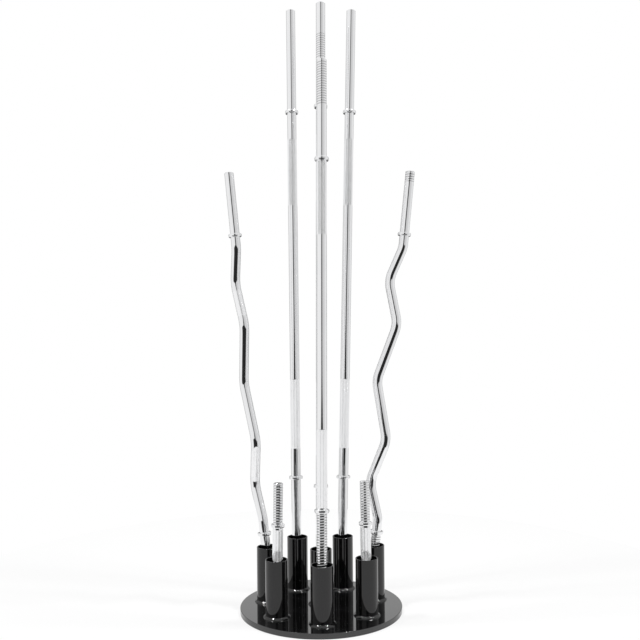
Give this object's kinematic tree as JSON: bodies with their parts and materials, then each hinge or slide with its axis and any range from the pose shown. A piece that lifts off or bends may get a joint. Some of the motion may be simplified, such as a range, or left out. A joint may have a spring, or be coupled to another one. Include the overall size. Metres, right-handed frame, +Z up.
{
  "type": "barbell storage rack",
  "caption": "Round heavy base plate with open vertical tubes in a ring and at its middle, each holding a chromed weight bar standing on its end.",
  "frame": {"origin": "centre of the base plate's underside", "axes": "+Z up, -Y towards the front of the rack, where one tube of the ring stands, and +X to the right as seen from the front"},
  "size_m": [0.5533, 0.5101, 1.7622],
  "materials": {
    "plate_black_gloss": "high gloss black powder coat",
    "tube_black_gloss": "high gloss black powder coat",
    "weld_black_gloss": "high gloss black powder coat over weld ripples",
    "bar_chrome": "bright chrome, knurled at the grips and threaded at some ends",
    "collar_chrome": "bright chrome"
  },
  "bodies": {
    "rack": {"base_plate": "plate_black_gloss", "tube_centre": "tube_black_gloss", "tube_front": "tube_black_gloss", "tube_front_left": "tube_black_gloss", "tube_left": "tube_black_gloss", "tube_back_left": "tube_black_gloss", "tube_back_right": "tube_black_gloss", "tube_right": "tube_black_gloss", "tube_front_right": "tube_black_gloss", "weld_bead_centre": "weld_black_gloss", "weld_bead_front": "weld_black_gloss", "weld_bead_front_left": "weld_black_gloss", "weld_bead_left": "weld_black_gloss", "weld_bead_back_left": "weld_black_gloss", "weld_bead_back_right": "weld_black_gloss", "weld_bead_right": "weld_black_gloss", "weld_bead_front_right": "weld_black_gloss"},
    "bar_centre": {"straight_bar_centre": "bar_chrome", "lower_collar_centre": "collar_chrome", "upper_collar_centre": "collar_chrome"},
    "bar_front": {"straight_bar_front": "bar_chrome", "lower_collar_front": "collar_chrome", "upper_collar_front": "collar_chrome"},
    "bar_front_left": {"dumbbell_bar_front_left": "bar_chrome", "lower_collar_front_left": "collar_chrome", "upper_collar_front_left": "collar_chrome"},
    "bar_left": {"curl_bar_left": "bar_chrome", "lower_collar_left": "collar_chrome", "upper_collar_left": "collar_chrome"},
    "bar_back_left": {"straight_bar_back_left": "bar_chrome", "lower_collar_back_left": "collar_chrome", "upper_collar_back_left": "collar_chrome"},
    "bar_back_right": {"straight_bar_back_right": "bar_chrome", "lower_collar_back_right": "collar_chrome", "upper_collar_back_right": "collar_chrome"},
    "bar_right": {"curl_bar_right": "bar_chrome", "lower_collar_right": "collar_chrome", "upper_collar_right": "collar_chrome"},
    "bar_front_right": {"dumbbell_bar_front_right": "bar_chrome", "lower_collar_front_right": "collar_chrome", "upper_collar_front_right": "collar_chrome"}
  },
  "joints": [
    {"name": "lift_bar_centre", "type": "slide", "parent": "rack", "child": "bar_centre", "axis": [0, 0, 1], "range_m": [0, 0.2]},
    {"name": "lift_bar_front", "type": "slide", "parent": "rack", "child": "bar_front", "axis": [0, 0, 1], "range_m": [0, 0.2]},
    {"name": "lift_bar_front_left", "type": "slide", "parent": "rack", "child": "bar_front_left", "axis": [0, 0, 1], "range_m": [0, 0.2]},
    {"name": "lift_bar_left", "type": "slide", "parent": "rack", "child": "bar_left", "axis": [0, 0, 1], "range_m": [0, 0.2]},
    {"name": "lift_bar_back_left", "type": "slide", "parent": "rack", "child": "bar_back_left", "axis": [0, 0, 1], "range_m": [0, 0.2]},
    {"name": "lift_bar_back_right", "type": "slide", "parent": "rack", "child": "bar_back_right", "axis": [0, 0, 1], "range_m": [0, 0.2]},
    {"name": "lift_bar_right", "type": "slide", "parent": "rack", "child": "bar_right", "axis": [0, 0, 1], "range_m": [0, 0.2]},
    {"name": "lift_bar_front_right", "type": "slide", "parent": "rack", "child": "bar_front_right", "axis": [0, 0, 1], "range_m": [0, 0.2]}
  ]
}
